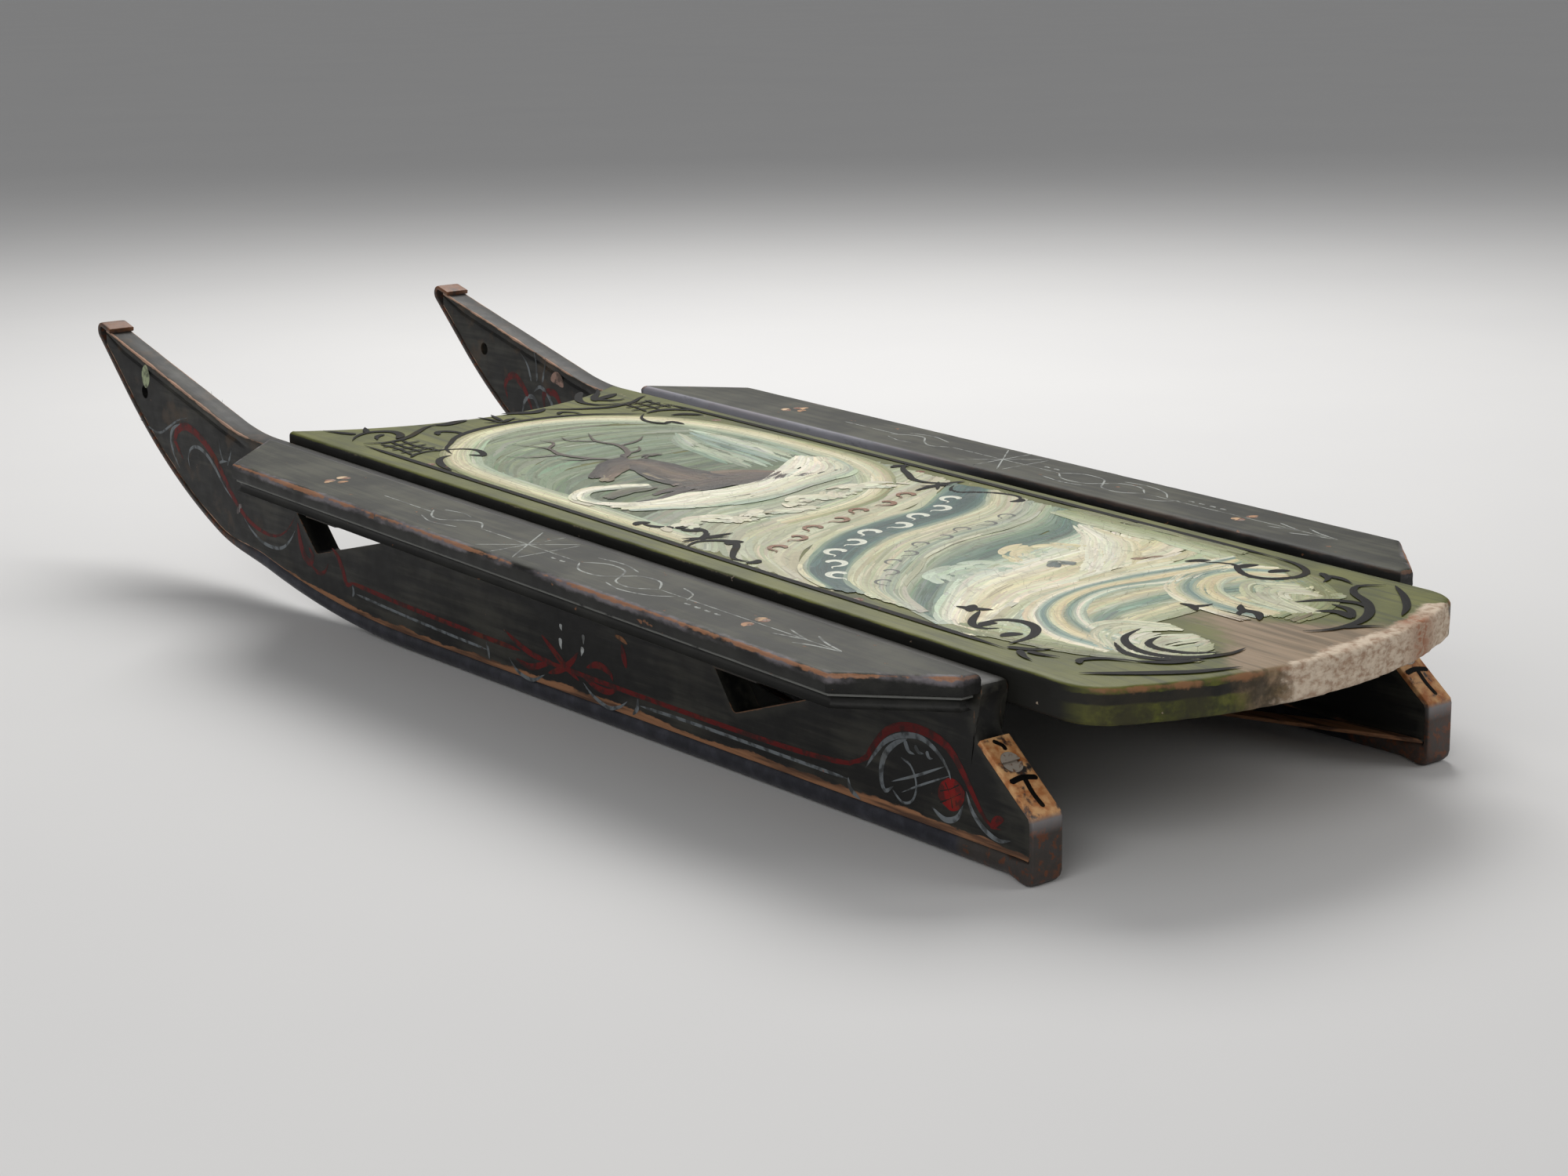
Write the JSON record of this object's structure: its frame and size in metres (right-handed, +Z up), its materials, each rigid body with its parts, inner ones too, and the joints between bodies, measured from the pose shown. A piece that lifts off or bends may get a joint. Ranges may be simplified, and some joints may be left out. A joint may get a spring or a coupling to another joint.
{
  "type": "wooden toboggan",
  "caption": "Child's painted coasting sled: a seat board between two board runners with upturned horns and curled iron shoes, and a clipped side rail along each runner.",
  "frame": {"origin": "on the ground, under the middle of the sled's overall length and width", "axes": "+Z up, +Y to the front (towards the horns), +X to the rider's right"},
  "size_m": [0.438, 1.0959, 0.1756],
  "materials": {
    "deck_paint": "olive-green oil paint with a painted picture, worn to bare wood at the rear",
    "black_paint": "aged black-green paint with striping, worn brown on the edges",
    "bar_wood": "plain sawn hardwood, darkened",
    "shoe_iron": "wrought iron, polished by use below and rust-brown with ochre paint at the ends",
    "fastener_steel": "dull iron"
  },
  "bodies": {
    "root": {"deck_board": "deck_paint", "left_runner": "black_paint", "right_runner": "black_paint", "left_side_rail": "black_paint", "right_side_rail": "black_paint", "front_cross_bar": "bar_wood", "middle_cross_bar": "bar_wood", "rear_cross_bar": "bar_wood", "left_shoe": "shoe_iron", "right_shoe": "shoe_iron", "strap_screws": "fastener_steel", "deck_nails": "fastener_steel", "rail_nails": "fastener_steel"}
  },
  "joints": []
}
